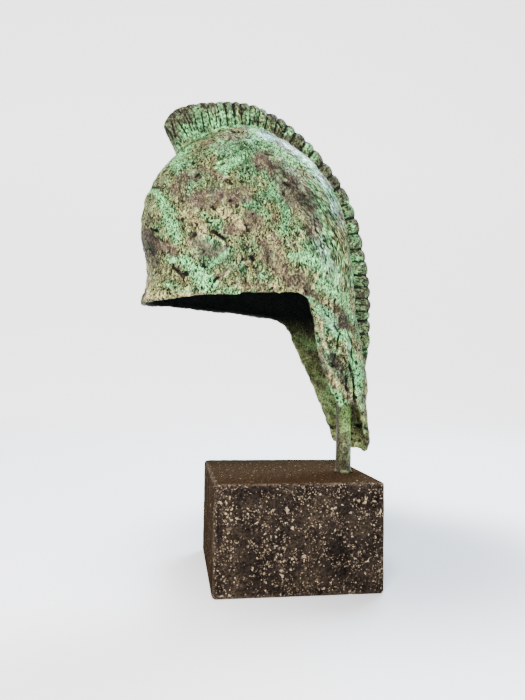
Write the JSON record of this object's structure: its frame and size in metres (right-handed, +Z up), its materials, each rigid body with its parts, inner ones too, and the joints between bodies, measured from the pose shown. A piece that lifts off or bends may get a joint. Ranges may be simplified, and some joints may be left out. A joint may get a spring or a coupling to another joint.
{
  "type": "bronze helmet on a post and stone block",
  "caption": "Small cast bronze helmet of the ancient Greek kind, with a ribbed crest and a tapering neck guard, on a round post in a stone block.",
  "frame": {"origin": "middle of the stone block's underside", "axes": "+Z up; the block's sides lie along X and Y; the helmet faces -X, turned 12 degrees towards -Y"},
  "size_m": [0.15, 0.113, 0.293],
  "materials": {
    "bronze_patina": "rough green and brown patina",
    "post_bronze": "olive patina, half dull",
    "dark_stone": "worn, speckled, half dull"
  },
  "bodies": {
    "root": {"helmet_bowl": "bronze_patina", "crest": "bronze_patina", "post": "post_bronze", "stone_block": "dark_stone"}
  },
  "joints": []
}
